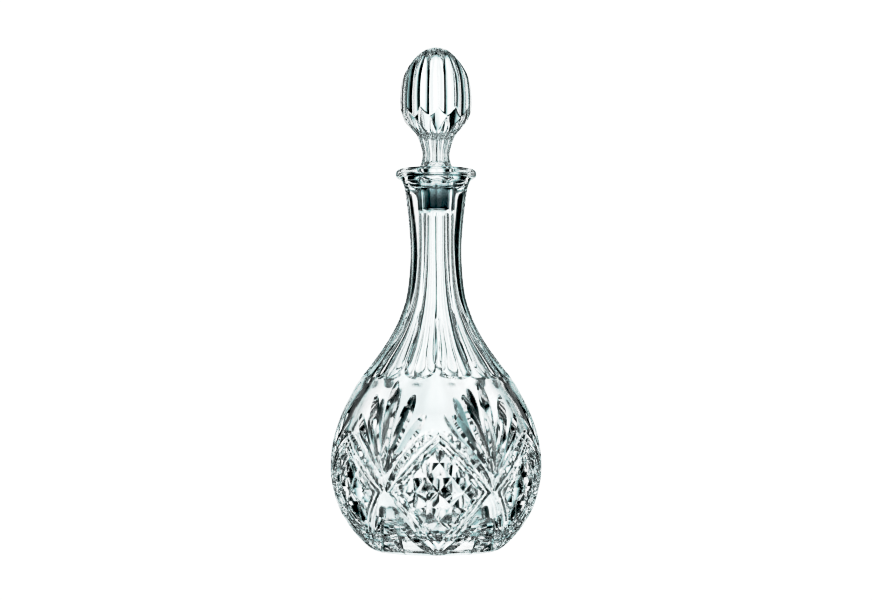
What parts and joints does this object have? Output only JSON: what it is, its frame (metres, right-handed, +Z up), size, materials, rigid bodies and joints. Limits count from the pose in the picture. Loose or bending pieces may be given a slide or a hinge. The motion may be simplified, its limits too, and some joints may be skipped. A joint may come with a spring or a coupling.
{
  "type": "wine decanter",
  "caption": "Cut-glass wine decanter with a round belly, long fluted neck, flat lip and a lift-out fluted glass stopper with a sealing sleeve.",
  "frame": {"origin": "middle of the base, on the surface that the decanter stands on", "axes": "+Z up along the decanter's axis, -Y towards the front, +X to the right"},
  "size_m": [0.1376, 0.1376, 0.33],
  "materials": {
    "decanter_glass": "clear pressed and cut crystal, polished",
    "stopper_glass": "clear pressed crystal, polished",
    "sleeve_plastic": "translucent colourless plastic"
  },
  "bodies": {
    "decanter": {"decanter_body": "decanter_glass"},
    "sleeve": {"stopper_sleeve": "sleeve_plastic"},
    "stopper": {"stopper": "stopper_glass"}
  },
  "joints": [
    {"name": "stopper_lift", "type": "slide", "parent": "decanter", "child": "sleeve", "axis": [0, 0, 1], "range_m": [0, 0.08]},
    {"name": "stopper_turn", "type": "hinge", "parent": "sleeve", "child": "stopper", "pos_m": [0, 0, 0.2355], "axis": [0, 0, 1], "continuous": true}
  ]
}
